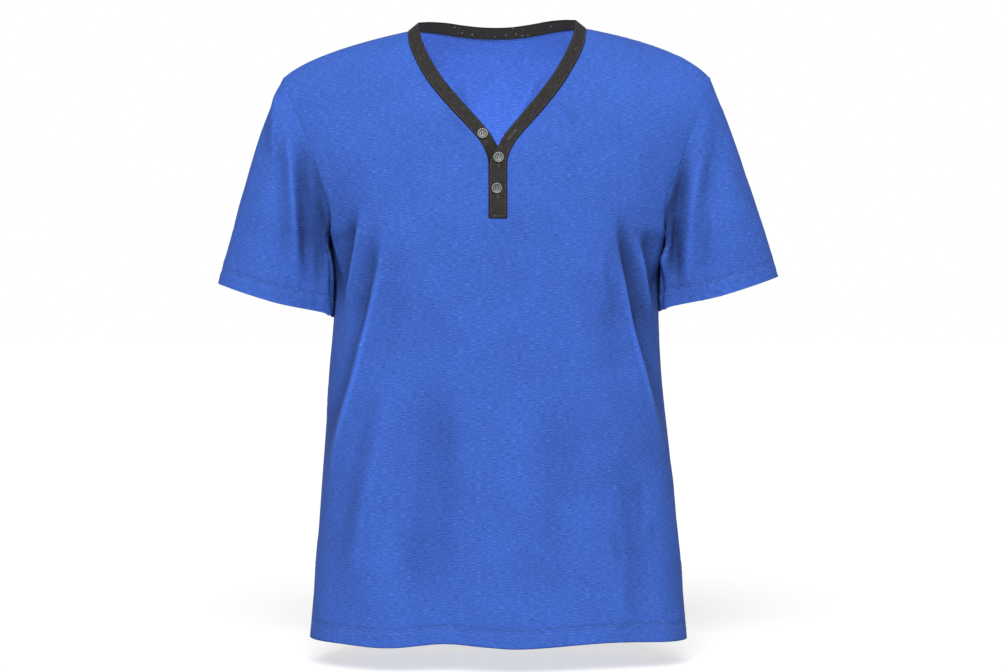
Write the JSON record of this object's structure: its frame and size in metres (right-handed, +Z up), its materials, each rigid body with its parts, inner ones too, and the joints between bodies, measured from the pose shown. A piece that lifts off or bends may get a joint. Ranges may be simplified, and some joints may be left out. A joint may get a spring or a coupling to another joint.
{
  "type": "short-sleeved t-shirt",
  "caption": "Short-sleeved jersey T-shirt with a Y-shaped rib neck and a buttoned half placket, filled out as if worn.",
  "frame": {"origin": "midway between the two high points of the shoulders, on the shoulder seams, where the wearer's shoulders hold the shirt up", "axes": "+Z up, the front faces -Y, +X towards the wearer's left"},
  "size_m": [0.683, 0.257, 0.7557],
  "materials": {
    "jersey": "blue melange single jersey, matt and slightly brushed",
    "rib": "charcoal melange rib, matt",
    "button": "grey, softly shining"
  },
  "bodies": {
    "root": {"front": "jersey", "back": "jersey", "sleeve_left": "jersey", "sleeve_right": "jersey", "neck_band": "rib", "button_top": "button", "button_middle": "button", "button_bottom": "button"}
  },
  "joints": []
}
